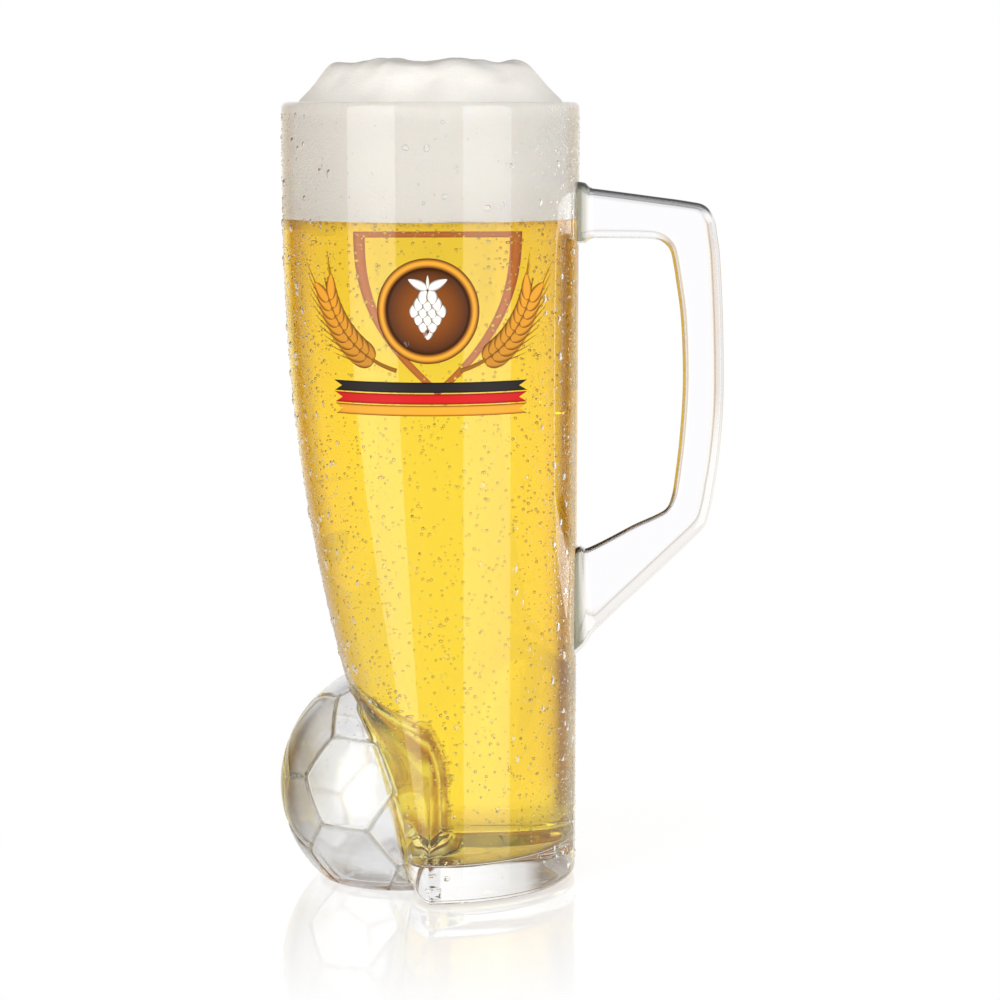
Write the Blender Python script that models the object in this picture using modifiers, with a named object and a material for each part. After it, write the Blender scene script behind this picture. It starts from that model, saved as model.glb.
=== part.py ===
"""Half-litre beer mug of pressed clear glass, filled, with a glass football fused to its foot.

The vessel stands on its axis at the origin, +Z up.  Its handle is towards +X.  Towards -X the
wall sweeps in on its way down, and the football fills the hollow that this leaves.
"""
import bpy
import bmesh
import numpy as np
from mathutils import Matrix, Vector

MM = 0.001

# Vessel: a round mug whose -X side sweeps in towards the foot.
HEIGHT = 203.0 * MM
RIM_RADIUS = 38.5 * MM
WALL_DRAFT = 0.7 * MM
WALL = 3.4 * MM
FLOOR = 9.0 * MM
FOOT_ROUND = 2.4 * MM
RIM_ROUND = 1.2 * MM
SWEEP_TOP = 175.0 * MM
SWEEP_FOOT = 5.3 * MM
SWEEP_POWER = 2.1

# Dent that the football leaves in the cup: an upright arch with rounded edges.
DENT_RADIUS = 34.3 * MM
DENT_HEIGHT = 25.0 * MM
DENT_OFFSET = 31.0 * MM
DENT_WIDTH = 34.0 * MM
DENT_ROUND = 12.0 * MM
DENT_WALL = 2.0 * MM

# Football: a hollow ball cut flat where it stands.
BALL_RADIUS = 32.4 * MM
BALL_HEIGHT = 24.1 * MM
BALL_OFFSET = 7.9 * MM
BALL_WALL = 3.0 * MM

# Handle: a flat bar bent from the upper wall, out to the grip and back to the lower wall.
HANDLE_TOP = 174.5 * MM
HANDLE_FOOT = 73.0 * MM
HANDLE_REACH = 32.0 * MM
HANDLE_GRIP = 10.6 * MM
HANDLE_TOP_ROOT = 13.4 * MM
HANDLE_FOOT_ROOT = 21.0 * MM
HANDLE_WIDTH = 13.0 * MM
HANDLE_ROUND = 3.0 * MM

# Contents: beer with a head of foam that stands above the rim.
BEER_LEVEL = 173.3 * MM
FOAM_RISE = 10.4 * MM
FOAM_TOP_RADIUS = 20.0 * MM

# Enamel prints: thin films on the upper wall, one at the front (-Y) and one at the back (+Y).
PRINT_HEIGHT = 151.5 * MM
MEDALLION_RADIUS = 10.6 * MM
MEDALLION_RING = 2.2 * MM
EMBLEM_LENGTH = 14.0 * MM
EMBLEM_HALF_WIDTH = 4.2 * MM
BARLEY_LENGTH = 34.0 * MM
BARLEY_HALF_WIDTH = 4.2 * MM
BARLEY_START = np.radians(20.0)
BARLEY_BEND = np.radians(63.0)
BAND_LENGTH = 54.0 * MM
BAND_WIDTH = 2.6 * MM
BAND_DROP = 19.0 * MM
BACK_PRINT_HEIGHT = 147.0 * MM
CREST_WIDTH = 24.0 * MM
CREST_HEIGHT = 44.0 * MM
CREST_LINE = 1.6 * MM
STAR_RADIUS = 6.5 * MM
FILM = 0.3 * MM

# Gaps: between fused glass pieces, between contents and glass, under and between films.
FUSE_GAP = 0.3 * MM
FILL_GAP = 0.3 * MM
FILM_GAP = 0.3 * MM

SEGMENTS = 72


def clear_scene():
    for thing in list(bpy.data.objects):
        bpy.data.objects.remove(thing, do_unlink=True)


def collection(name):
    group = bpy.data.collections.new(name)
    bpy.context.scene.collection.children.link(group)
    return group


def material(name, colour, roughness, metallic=0.0):
    mat = bpy.data.materials.new(name)
    mat.use_nodes = True
    shader = mat.node_tree.nodes["Principled BSDF"]
    shader.inputs["Base Color"].default_value = (*colour, 1.0)
    shader.inputs["Roughness"].default_value = roughness
    shader.inputs["Metallic"].default_value = metallic
    mat.diffuse_color = (*colour, 1.0)
    return mat


def add(name, mesh, group, mat=None):
    thing = bpy.data.objects.new(name, mesh)
    group.objects.link(thing)
    if mat is not None:
        mesh.materials.clear()
        mesh.materials.append(mat)
    for face in mesh.polygons:
        face.use_smooth = True
    return thing


def cutter(name, mesh):
    thing = add(name, mesh, CUTTERS)
    thing.hide_render = True
    thing.display_type = "WIRE"
    return thing


def boolean(thing, operation, other):
    step = thing.modifiers.new(operation.title(), "BOOLEAN")
    step.operation = operation
    step.solver = "EXACT"
    step.object = other


def wall_radius(z):
    """Radius of the round wall, which draws in a little towards the foot."""
    return RIM_RADIUS - WALL_DRAFT * (1.0 - np.clip(z / HEIGHT, 0.0, 1.0))


def sweep_radius(z):
    """Half-width of the section towards -X, where the wall sweeps in below SWEEP_TOP."""
    drawn_in = np.clip(1.0 - z / SWEEP_TOP, 0.0, 1.0) ** SWEEP_POWER
    return wall_radius(z) - (wall_radius(0.0) - SWEEP_FOOT) * drawn_in


def loft(name, rings):
    """Closed skin through level sections: each a half circle at +X and a half ellipse at -X.

    A ring gives its height, the height whose section it has, and how far it is set in.
    """
    bm = bmesh.new()
    turn = np.arange(SEGMENTS) * 2.0 * np.pi / SEGMENTS
    loops = []
    for z, level, inset in rings:
        side = wall_radius(level) - inset
        back = sweep_radius(level) - inset
        along = np.where(np.cos(turn) >= 0.0, side, back) * np.cos(turn)
        across = side * np.sin(turn)
        loops.append([bm.verts.new((x, y, z)) for x, y in zip(along, across)])
    for low, high in zip(loops, loops[1:]):
        for i in range(SEGMENTS):
            j = (i + 1) % SEGMENTS
            bm.faces.new((low[i], low[j], high[j], high[i]))
    bm.faces.new(loops[0][::-1])
    bm.faces.new(loops[-1])
    mesh = bpy.data.meshes.new(name)
    bm.to_mesh(mesh)
    bm.free()
    return mesh


def straight_rings(low, high, inset, count):
    return [(z, z, inset) for z in np.linspace(low, high, count)]


def grown_wall(name, gap, low, high, count):
    """Skin of the vessel's wall grown by a gap, run past the foot so that it cuts clean."""
    rings = straight_rings(low, high, -gap, count)
    if low <= 0.0:
        rings = [(low - FLOOR, 0.0, -gap)] + rings
    return loft(name, rings)


def revolved(name, profile, centre=(0.0, 0.0)):
    """Profile of (radius, height) points from the top down, turned about an upright line."""
    mesh = bpy.data.meshes.new(name)
    points = [(r, 0.0, z) for r, z in profile]
    mesh.from_pydata(points, [(i, i + 1) for i in range(len(points) - 1)], [])
    thing = add(name, mesh, CUTTERS)
    turn = thing.modifiers.new("Turn", "SCREW")
    turn.steps = SEGMENTS
    turn.render_steps = SEGMENTS
    turn.use_merge_vertices = True
    turn.merge_threshold = 0.01 * MM
    result = baked(thing, name)
    result.transform(Matrix.Translation((centre[0], centre[1], 0.0)))
    return result


def baked(thing, name):
    """Mesh of an object with its modifiers or curve settings done; the object is removed."""
    graph = bpy.context.evaluated_depsgraph_get()
    graph.update()
    mesh = bpy.data.meshes.new_from_object(thing.evaluated_get(graph))
    mesh.name = name
    bpy.data.objects.remove(thing, do_unlink=True)
    bm = bmesh.new()
    bm.from_mesh(mesh)
    bmesh.ops.remove_doubles(bm, verts=bm.verts, dist=0.01 * MM)
    bmesh.ops.recalc_face_normals(bm, faces=bm.faces)
    bm.to_mesh(mesh)
    bm.free()
    return mesh


def slab(name, outlines, depth, centre, bevel=0.0):
    """Flat plate in the XZ plane from closed outlines of (x, z) points, `depth` thick along Y."""
    curve = bpy.data.curves.new(name, "CURVE")
    curve.dimensions = "2D"
    curve.fill_mode = "BOTH"
    curve.extrude = depth / 2.0 - bevel
    curve.bevel_depth = bevel
    curve.bevel_resolution = 3
    curve.offset = -bevel
    for outline in outlines:
        spline = curve.splines.new("POLY")
        spline.points.add(len(outline) - 1)
        for point, (x, z) in zip(spline.points, outline):
            point.co = (x, z, 0.0, 1.0)
        spline.use_cyclic_u = True
    thing = bpy.data.objects.new(name, curve)
    CUTTERS.objects.link(thing)
    mesh = baked(thing, name)
    mesh.transform(Matrix.Rotation(np.pi / 2.0, 4, "X"))
    mesh.transform(Matrix.Translation(centre))
    return mesh


def circle(radius):
    turn = np.arange(SEGMENTS) * 2.0 * np.pi / SEGMENTS
    return np.stack([radius * np.cos(turn), radius * np.sin(turn)], axis=1)


def ear(length, half_width, grains, start, bend):
    """Outline of an ear of grain: a leaf with scalloped edges on a midrib that turns as it runs."""
    t = np.linspace(0.0, 1.0, 8 * grains + 1)
    scallop = 0.78 + 0.22 * np.abs(np.sin(grains * np.pi * t))
    half = half_width * np.sin(np.pi * t ** 0.8) ** 0.6 * scallop
    half[0] = half[-1] = 0.0
    heading = start + bend * t
    step = length / (len(t) - 1)
    rib = np.stack([np.cumsum(np.cos(heading)), np.cumsum(np.sin(heading))], axis=1) * step
    normal = np.stack([-np.sin(heading), np.cos(heading)], axis=1)
    upper = rib + normal * half[:, None]
    lower = rib - normal * half[:, None]
    return np.concatenate([lower, upper[-2:0:-1]])


def band(length, width, notch):
    """Outline of a straight ribbon with a V cut in each end."""
    x, z = length / 2.0, width / 2.0
    return np.array([(-x, -z), (x, -z), (x - notch, 0.0), (x, z), (-x, z), (-x + notch, 0.0)])


def crest(width, height, inset):
    """Outline of a plain shield: straight top, sides that curve to a point."""
    t = np.linspace(0.0, 1.0, 15)
    half = (width / 2.0 - inset) * (1.0 - t ** 2.4)
    top = height / 2.0 - inset
    z = top - (height - 2.4 * inset) * t
    right = np.stack([half, z], axis=1)
    left = np.stack([-half[-2::-1], z[-2::-1]], axis=1)
    return np.concatenate([right, left])[::-1]


def star(radius, points):
    turn = np.pi / 2.0 + np.arange(2 * points) * np.pi / points
    reach = np.where(np.arange(2 * points) % 2 == 0, radius, radius * 0.45)
    return np.stack([reach * np.cos(turn), reach * np.sin(turn)], axis=1)


def film(name, outlines, centre, at_front, mat):
    """Enamel film: the skin over the wall, kept only inside outlines that run through it."""
    reach = 2.0 * RIM_RADIUS
    side = -1.0 if at_front else 1.0
    plate = slab(name, outlines, reach, (centre[0], side * reach / 2.0, centre[1]))
    thing = add(name, plate, PARTS, mat)
    boolean(thing, "INTERSECT", PRINT_SKIN)


def handle_outline():
    """Closed (x, z) outline of the bar: a smooth centreline with half its depth on each side."""
    wall = wall_radius(HANDLE_TOP)
    drop = HANDLE_TOP - HANDLE_FOOT
    reach = HANDLE_REACH
    centre = np.array([
        (wall - 2.0 * WALL, HANDLE_TOP),
        (wall + 0.24 * reach, HANDLE_TOP),
        (wall + 0.61 * reach, HANDLE_TOP - 0.015 * drop),
        (wall + 0.89 * reach, HANDLE_TOP - 0.050 * drop),
        (wall + 0.96 * reach, HANDLE_TOP - 0.135 * drop),
        (wall + 0.99 * reach, HANDLE_TOP - 0.27 * drop),
        (wall + 1.00 * reach, HANDLE_TOP - 0.43 * drop),
        (wall + 0.98 * reach, HANDLE_TOP - 0.57 * drop),
        (wall + 0.94 * reach, HANDLE_TOP - 0.68 * drop),
        (wall + 0.87 * reach, HANDLE_TOP - 0.77 * drop),
        (wall + 0.72 * reach, HANDLE_TOP - 0.83 * drop),
        (wall + 0.26 * reach, HANDLE_TOP - 0.935 * drop),
        (wall - 2.0 * WALL, HANDLE_FOOT - 0.05 * drop),
    ])
    near_wall = np.clip(1.0 - (centre[:, 0] - wall) / (0.8 * reach), 0.0, 1.0) ** 1.5
    root = np.where(np.arange(len(centre)) < 5, HANDLE_TOP_ROOT, HANDLE_FOOT_ROOT)
    depth = HANDLE_GRIP + (root - HANDLE_GRIP) * near_wall
    fine = np.linspace(0.0, len(centre) - 1.0, 56)
    line = np.array([spline_point(centre, s) for s in fine])
    half = np.interp(fine, np.arange(len(centre)), depth) / 2.0
    along = np.gradient(line, axis=0)
    along /= np.linalg.norm(along, axis=1)[:, None]
    normal = np.stack([-along[:, 1], along[:, 0]], axis=1)
    outer = line + normal * half[:, None]
    inner = line - normal * half[:, None]
    return np.concatenate([outer, inner[::-1]])[::-1]


def spline_point(points, s):
    """Point at parameter s on the smooth curve that passes through every given point."""
    i = min(int(s), len(points) - 2)
    t = s - i
    p1, p2 = points[i], points[i + 1]
    p0 = points[i - 1] if i > 0 else 2.0 * p1 - p2
    p3 = points[i + 2] if i + 2 < len(points) else 2.0 * p2 - p1
    return 0.5 * (2.0 * p1 + (p2 - p0) * t + (2.0 * p0 - 5.0 * p1 + 4.0 * p2 - p3) * t ** 2
                  + (3.0 * p1 - p0 - 3.0 * p2 + p3) * t ** 3)


clear_scene()
PARTS = collection("beer_mug")
CUTTERS = collection("cutters")

GLASS = (0.86, 0.90, 0.92)
clear_glass = material("clear_glass", GLASS, 0.05)
ball_glass = material("ball_glass", GLASS, 0.08)
handle_glass = material("handle_glass", (0.82, 0.88, 0.86), 0.05)
lager = material("lager", (0.95, 0.62, 0.04), 0.1)
foam = material("foam", (0.90, 0.86, 0.78), 0.9)
brown_enamel = material("brown_enamel", (0.20, 0.09, 0.03), 0.4)
gold_enamel = material("gold_enamel", (0.72, 0.47, 0.10), 0.35, 0.4)
dark_enamel = material("dark_enamel", (0.03, 0.025, 0.02), 0.4)
red_enamel = material("red_enamel", (0.60, 0.04, 0.03), 0.4)
ochre_enamel = material("ochre_enamel", (0.45, 0.24, 0.06), 0.45)


# The dent behind the football, and the cup's hollow round it.
def dent(name, gap):
    arc = np.linspace(0.0, np.pi, 33)
    radius = DENT_RADIUS + gap
    arch = [(radius * np.cos(a) - DENT_OFFSET, DENT_HEIGHT + radius * np.sin(a)) for a in arc]
    foot = -2.0 * DENT_ROUND
    arch += [(-radius - DENT_OFFSET, foot), (radius - DENT_OFFSET, foot)]
    return cutter(name, slab(name, [arch], DENT_WIDTH + 2.0 * gap, (0.0, 0.0, 0.0), DENT_ROUND))


def cup_space(name, low, gap):
    """The cup's hollow round the dent, from a height up, grown by a gap into the wall."""
    rings = straight_rings(low, HEIGHT - RIM_ROUND, WALL - gap, 17)
    rings += [(HEIGHT, HEIGHT, WALL - RIM_ROUND - gap), (HEIGHT + FLOOR, HEIGHT, WALL - RIM_ROUND - gap)]
    space = cutter(name, loft(name, rings))
    boolean(space, "DIFFERENCE", dent(name + "_dent", -gap))
    return space


def ball(name, radius, foot):
    """The football's sphere of a given radius, cut flat at the height of its foot."""
    bm = bmesh.new()
    bmesh.ops.create_uvsphere(bm, u_segments=56, v_segments=32, radius=radius)
    middle = Vector((-BALL_OFFSET, 0.0, BALL_HEIGHT))
    bmesh.ops.translate(bm, verts=bm.verts, vec=middle)
    everything = bm.verts[:] + bm.edges[:] + bm.faces[:]
    cut = bmesh.ops.bisect_plane(bm, geom=everything, plane_co=(0.0, 0.0, foot), plane_no=(0.0, 0.0, -1.0),
                                 clear_outer=True)
    rim = [part for part in cut["geom_cut"] if isinstance(part, bmesh.types.BMEdge)]
    bmesh.ops.edgeloop_fill(bm, edges=rim)
    bmesh.ops.recalc_face_normals(bm, faces=bm.faces)
    mesh = bpy.data.meshes.new(name)
    bm.to_mesh(mesh)
    bm.free()
    return mesh


cup = cup_space("cup_hollow", FLOOR, 0.0)
ball_hollow = cutter("ball_hollow", ball("ball_hollow", BALL_RADIUS - BALL_WALL, BALL_WALL))
boolean(ball_hollow, "DIFFERENCE", cup_space("cup_skin", -FLOOR, DENT_WALL))

# The vessel itself: a lofted wall with a rounded foot and rim, hollowed by the cup.
wall_rings = [(0.0, 0.0, FOOT_ROUND), (0.3 * FOOT_ROUND, 0.0, 0.3 * FOOT_ROUND)]
wall_rings += straight_rings(FOOT_ROUND, HEIGHT - RIM_ROUND, 0.0, 17)
wall_rings += [(HEIGHT - 0.3 * RIM_ROUND, HEIGHT, 0.3 * RIM_ROUND), (HEIGHT, HEIGHT, RIM_ROUND)]
vessel = add("glass_vessel", loft("glass_vessel", wall_rings), PARTS, clear_glass)
boolean(vessel, "DIFFERENCE", cup)
boolean(vessel, "DIFFERENCE", ball_hollow)

# The football is fused to the swept side: a ball, cut flat at the table and to the wall, and hollow.
FUSE_BED = cutter("fuse_bed", grown_wall("fuse_bed", FUSE_GAP, 0.0, HEIGHT, 17))
football = add("glass_football", ball("glass_football", BALL_RADIUS, 0.0), PARTS, ball_glass)
boolean(football, "DIFFERENCE", FUSE_BED)
boolean(football, "DIFFERENCE", ball_hollow)

# The handle is fused to the wall at both ends: a bar with rounded edges, cut to the wall.
handle_mesh = slab("handle", [handle_outline()], HANDLE_WIDTH, Vector((0.0, 0.0, 0.0)), HANDLE_ROUND)
handle = add("handle", handle_mesh, PARTS, handle_glass)
boolean(handle, "DIFFERENCE", FUSE_BED)

# Beer fills the cup up to its level, round the dent.
beer_rings = straight_rings(FLOOR + FILL_GAP, BEER_LEVEL, WALL + FILL_GAP, 15)
beer = add("beer", loft("beer", beer_rings), PARTS, lager)
boolean(beer, "DIFFERENCE", dent("dent_bed", FILL_GAP))

# Foam stands on the beer and domes over the rim with a sloping edge and a flat top.
edge = RIM_RADIUS - WALL - FILL_GAP
low_edge = wall_radius(BEER_LEVEL) - WALL - FILL_GAP
foam_top = HEIGHT + FOAM_RISE
shoulder = 0.5 * (edge + FOAM_TOP_RADIUS)
foam_profile = [
    (0.0, foam_top),
    (0.5 * FOAM_TOP_RADIUS, foam_top),
    (FOAM_TOP_RADIUS, foam_top - 0.02 * FOAM_RISE),
    (0.45 * FOAM_TOP_RADIUS + 0.55 * shoulder, HEIGHT + 0.87 * FOAM_RISE),
    (shoulder + 0.20 * (edge - FOAM_TOP_RADIUS), HEIGHT + 0.40 * FOAM_RISE),
    (edge, HEIGHT - RIM_ROUND),
    (low_edge, BEER_LEVEL + FILL_GAP),
    (0.0, BEER_LEVEL + FILL_GAP),
]
add("foam_head", revolved("foam_head", foam_profile), PARTS, foam)

# Enamel prints: a skin over the upper wall, cut to each outline.
skin_low = PRINT_HEIGHT - 2.0 * CREST_HEIGHT
skin_high = PRINT_HEIGHT + CREST_HEIGHT
PRINT_SKIN = cutter("print_skin", grown_wall("print_skin", FILM_GAP + FILM, skin_low, skin_high, 9))
print_bed = grown_wall("print_bed", FILM_GAP, skin_low - WALL, skin_high + WALL, 9)
boolean(PRINT_SKIN, "DIFFERENCE", cutter("print_bed", print_bed))

# Front print: a medallion with an emblem, an ear of barley on each side and a striped ribbon below.
front = (0.0, PRINT_HEIGHT)
emblem_outline = ear(EMBLEM_LENGTH, EMBLEM_HALF_WIDTH, 5, 0.0, 0.0)[:, ::-1]
emblem_outline[:, 1] -= EMBLEM_LENGTH / 2.0
emblem_bed = emblem_outline * (1.0 + 2.0 * FILM_GAP / EMBLEM_HALF_WIDTH)
film("print_medallion", [circle(MEDALLION_RADIUS), emblem_bed], front, True, brown_enamel)
film("print_emblem", [emblem_outline], front, True, gold_enamel)
ring_inner = MEDALLION_RADIUS + FILM_GAP
ring_outer = ring_inner + MEDALLION_RING
film("print_medallion_ring", [circle(ring_outer), circle(ring_inner)], front, True, gold_enamel)
barley = ear(BARLEY_LENGTH, BARLEY_HALF_WIDTH, 9, BARLEY_START, BARLEY_BEND)
barley += (0.72 * ring_outer, -0.98 * ring_outer)
film("print_barley_right", [barley], front, True, gold_enamel)
film("print_barley_left", [barley * (-1.0, 1.0)], front, True, gold_enamel)
pitch = BAND_WIDTH + FILM_GAP
for row, (name, mat) in enumerate([("dark", dark_enamel), ("red", red_enamel), ("gold", gold_enamel)]):
    place = (0.0, PRINT_HEIGHT - BAND_DROP - row * pitch)
    film("print_band_" + name, [band(BAND_LENGTH, BAND_WIDTH, BAND_WIDTH)], place, True, mat)

# Back print: a plain shield line round a star.
back = (0.0, BACK_PRINT_HEIGHT)
shield = [crest(CREST_WIDTH, CREST_HEIGHT, 0.0), crest(CREST_WIDTH, CREST_HEIGHT, CREST_LINE)]
film("back_print_shield", shield, back, False, ochre_enamel)
star_place = (0.0, back[1] + 0.1 * CREST_HEIGHT)
film("back_print_star", [star(STAR_RADIUS, 5)], star_place, False, ochre_enamel)
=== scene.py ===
"""A filled beer mug of pressed glass with a glass football fused to its foot, on a pale table.

Sizes of the mug are in mm. Its handle is at +X, the football at -X, and the camera looks along +Y.
"""

import bpy
import numpy as np
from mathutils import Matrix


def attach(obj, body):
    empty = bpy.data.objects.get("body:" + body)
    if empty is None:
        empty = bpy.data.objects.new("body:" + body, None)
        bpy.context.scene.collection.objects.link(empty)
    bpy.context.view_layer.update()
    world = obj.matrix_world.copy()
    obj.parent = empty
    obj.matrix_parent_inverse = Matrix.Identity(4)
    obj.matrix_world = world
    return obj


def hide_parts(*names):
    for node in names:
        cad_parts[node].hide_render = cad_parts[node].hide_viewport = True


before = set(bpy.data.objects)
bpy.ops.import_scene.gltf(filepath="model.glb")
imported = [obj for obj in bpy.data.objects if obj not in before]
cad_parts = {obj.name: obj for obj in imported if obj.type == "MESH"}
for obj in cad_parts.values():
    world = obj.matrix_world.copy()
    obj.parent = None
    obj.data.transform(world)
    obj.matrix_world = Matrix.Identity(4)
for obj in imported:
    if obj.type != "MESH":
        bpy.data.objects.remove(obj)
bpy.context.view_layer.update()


# The vessel is a tall mug of clear pressed glass with a thick base. The mould leaves its handle
# side upright and sweeps the other side in towards the foot. Inside the cup a dent with rounded
# edges is pushed in behind the hollow football.
RIM_HEIGHT = 203.0
RIM_RADIUS = 38.5
WALL_DRAFT = 0.7
WALL = 3.4
SWEEP_TOP = 175.0
SWEEP_FOOT = 5.3
SWEEP_POWER = 2.1
LEAST_REACH = 1.0
FOOT_ROUND = 2.4
FLOOR = 9.0
FLOOR_ROUND = 4.0
DENT_RADIUS = 34.3
DENT_HALF_WIDTH = 17.0
DENT_CENTRE = (-31.0, 25.0)
DENT_POWER = 5.0
DENT_BLEND = 4.0
BALL_RADIUS = 32.4
BALL_CENTRE = (-7.9, 24.1)
# How the rows and columns of the cup's grid are spread.
DENT_CROWDING = 2.0
DENT_TOP = 54.0
RING_SPINE = 14.0
CREASE_SHARE = 83.0 / 128.0
CORNER_SHARE = 13.0 / 45.0
CORNER_SPREAD = 1.6
COLUMNS = 257
NUDGE = 0.01


def smooth_step(t):
    """Rises from 0 to 1 as t does, level at both ends."""
    t = np.clip(t, 0.0, 1.0)
    return t * t * (3.0 - 2.0 * t)


def wall_radius(z):
    """Radius of the round wall: the rim's, less a draft that grows evenly towards the foot."""
    return RIM_RADIUS - WALL_DRAFT * (1.0 - np.clip(z / RIM_HEIGHT, 0.0, 1.0))


def sweep_radius(z):
    """Reach of the wall towards the football: drawn in by a power of the depth below SWEEP_TOP."""
    drawn_in = np.clip(1.0 - z / SWEEP_TOP, 0.0, 1.0) ** SWEEP_POWER
    return wall_radius(z) - (wall_radius(0.0) - SWEEP_FOOT) * drawn_in


def wall_point(angle, z, inset=0.0):
    """Point on the wall: half a circle on the handle's side, half an ellipse on the football's."""
    side = wall_radius(z) - inset
    back = sweep_radius(z) - inset
    along = np.where(np.cos(angle) >= 0.0, side, back) * np.cos(angle)
    return np.stack(np.broadcast_arrays(along, side * np.sin(angle), z), axis=-1)


def root(function, low, high):
    """Where a function that rises through zero between two arrays does so, by halving the gap."""
    for _ in range(44):
        middle = 0.5 * (low + high)
        below = function(middle) < 0.0
        low = np.where(below, middle, low)
        high = np.where(below, high, middle)
    return 0.5 * (low + high)


def ball_section(z):
    """Radius of the football's level section at height z."""
    return np.sqrt(np.maximum(BALL_RADIUS ** 2 - (z - BALL_CENTRE[1]) ** 2, 0.0))


def outside_ball(angle, z):
    """How far a point of the wall stands outside the football's section at its height."""
    point = wall_point(angle, z)
    return np.hypot(point[..., 0] - BALL_CENTRE[0], point[..., 1]) - ball_section(z)


def crease_angle(z):
    """Angle on the wall, from the handle round to the crease where the football meets it."""
    angle = root(lambda a: -outside_ball(a, z), np.full_like(z, np.pi / 2.0), np.full_like(z, np.pi))
    return np.where(outside_ball(np.full_like(z, np.pi), z) > 0.0, np.pi, angle)


def skin(name, *grids):
    """Mesh in metres over grids of points in mm; points that meet are welded into one."""
    points, quads, start = [], [], 0
    for grid in grids:
        index = start + np.arange(grid.shape[0] * grid.shape[1]).reshape(grid.shape[:2])
        corners = [index[:-1, :-1], index[:-1, 1:], index[1:, 1:], index[1:, :-1]]
        quads.append(np.stack(corners, axis=-1).reshape(-1, 4))
        points.append(grid.reshape(-1, 3))
        start += index.size
    points = np.concatenate(points)
    _, first, place = np.unique(np.round(points, 4), axis=0, return_index=True, return_inverse=True)
    faces = [tuple(dict.fromkeys(quad)) for quad in place.ravel()[np.concatenate(quads)].tolist()]
    faces = [face for face in faces if len(face) > 2]
    mesh = bpy.data.meshes.new(name)
    mesh.from_pydata((points[first] * 0.001).tolist(), [], faces)
    mesh.validate()
    mesh.polygons.foreach_set("use_smooth", np.ones(len(mesh.polygons), dtype=bool))
    mesh.set_sharp_from_angle(angle=np.radians(50.0))
    return mesh


def piece(name, mesh, material, slot, *nodes):
    """Object for a mesh with one material, fixed to the mug in place of the named CAD solids."""
    thing = bpy.data.objects.new(name, mesh)
    bpy.context.scene.collection.objects.link(thing)
    mesh.materials.append(material)
    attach(thing, "root")
    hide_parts(*nodes)
    return thing


def cup_depth(x, y, z, inset):
    """Signed distance into the glass at a point: below zero in the cup, zero on its wall.

    The wall's circle and ellipse are joined smoothly to the dent, an upright arch with rounded edges.
    """
    side = wall_radius(z) - inset
    back = np.maximum(sweep_radius(z) - inset, LEAST_REACH)
    reach = np.where(x >= 0.0, side, back)
    ratio = np.hypot(x / reach, y / side)
    slope = np.hypot(x / reach ** 2, y / side ** 2) / np.maximum(ratio, 1e-6)
    wall = (ratio - 1.0) / np.maximum(slope, 1e-6)
    above = np.maximum(z - DENT_CENTRE[1], 0.0)
    out, beside = np.hypot(x - DENT_CENTRE[0], above) / DENT_RADIUS, np.abs(y) / DENT_HALF_WIDTH
    size = np.maximum((out ** DENT_POWER + beside ** DENT_POWER) ** (1.0 / DENT_POWER), 1e-6)
    steep = np.hypot((out / size) ** (DENT_POWER - 1.0) / DENT_RADIUS,
                     (beside / size) ** (DENT_POWER - 1.0) / DENT_HALF_WIDTH)
    dent = (1.0 - size) / np.maximum(steep, 1e-6) + inset - WALL
    near = np.maximum(DENT_BLEND - np.abs(wall - dent), 0.0) / DENT_BLEND
    return np.maximum(wall, dent) + 0.25 * DENT_BLEND * near ** 2


def half_outline(z, inset):
    """Half of a level ring, from the handle's side: round the wall to the dent, then along the dent.

    Its columns are shared out so that one stands in the crease and one at the dent's corner.
    """
    side, back = wall_radius(z) - inset, max(sweep_radius(z) - inset, LEAST_REACH)
    turn = np.linspace(0.0, np.pi, 600)
    wall = np.stack([np.where(np.cos(turn) >= 0.0, side, back) * np.cos(turn), side * np.sin(turn)], axis=1)
    radius, half_width = DENT_RADIUS + inset - WALL, DENT_HALF_WIDTH + inset - WALL
    above = max(z - DENT_CENTRE[1], 0.0)
    out, beside = np.hypot(wall[:, 0] - DENT_CENTRE[0], above) / radius, wall[:, 1] / half_width
    wall = wall[out ** DENT_POWER + beside ** DENT_POWER >= 1.0]
    across = np.linspace(1.0, 0.0, 400)
    out = radius * (1.0 - across ** DENT_POWER) ** (1.0 / DENT_POWER)
    reach = np.sqrt(np.maximum(out ** 2 - above ** 2, 0.0))
    dent = np.stack([DENT_CENTRE[0] + reach, half_width * across], axis=1)
    reach = np.where(dent[:, 0] >= 0.0, side, back)
    dent = dent[(out > above) & (np.hypot(dent[:, 0] / reach, dent[:, 1] / side) < 1.0)]
    outline = np.concatenate([wall, dent])
    steps = np.linalg.norm(np.diff(outline, axis=0), axis=1)
    steps[len(wall):] *= DENT_CROWDING
    run = np.concatenate([[0.0], np.cumsum(steps)])
    crease = run[len(wall) - 1]
    corner = run[len(wall) - 1 + np.sum(dent[:, 1] > half_width * 0.5 ** (1.0 / DENT_POWER))]
    to_crease = max(CREASE_SHARE, crease / run[-1])
    bend = (corner - crease) / max(run[-1] - crease, 1.0)
    to_corner = to_crease + (1.0 - to_crease) * min(CORNER_SHARE, CORNER_SPREAD * bend)
    at = np.interp(np.linspace(0.0, 1.0, COLUMNS // 2 + 1), (0.0, to_crease, to_corner, 1.0),
                   (0.0, crease, corner, run[-1]))
    return np.stack([np.interp(at, run, outline[:, i]) for i in (0, 1)], axis=1)


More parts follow.
